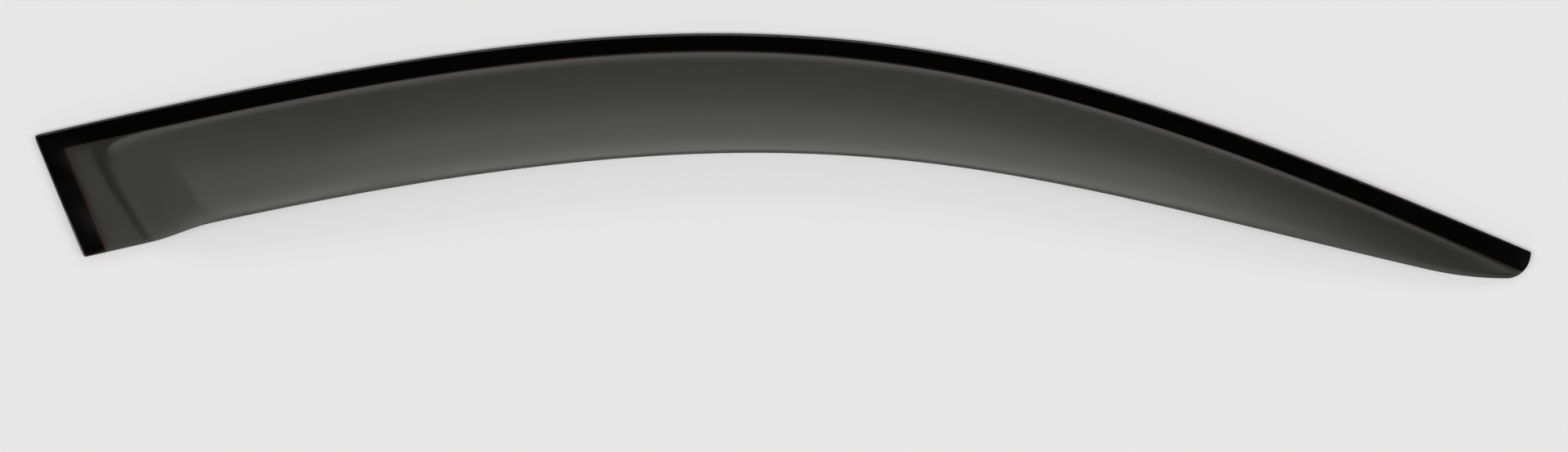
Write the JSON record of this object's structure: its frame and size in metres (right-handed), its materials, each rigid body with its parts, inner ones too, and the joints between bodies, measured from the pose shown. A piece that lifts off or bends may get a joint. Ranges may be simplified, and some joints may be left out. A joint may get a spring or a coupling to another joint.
{
  "type": "window rain deflector",
  "caption": "Smoked acrylic deflector for a car's front door window, with a raised curved panel, a flat flange and foam tape along the top and rear edges.",
  "frame": {"origin": "centre of the bounding box in the plan, at the height of the surface that the taped side lies on", "axes": "+X along the length towards the front tip, +Y towards the top edge, +Z away from the door"},
  "size_m": [0.95, 0.1556, 0.0309],
  "materials": {
    "smoked_acrylic": "polished, clear through, tinted dark",
    "foam_tape": "matt closed-cell foam",
    "liner_film": "smooth thin film"
  },
  "bodies": {
    "root": {"visor": "smoked_acrylic", "top_tape": "foam_tape", "rear_tape": "foam_tape", "top_liner": "liner_film", "rear_liner": "liner_film"}
  },
  "joints": []
}
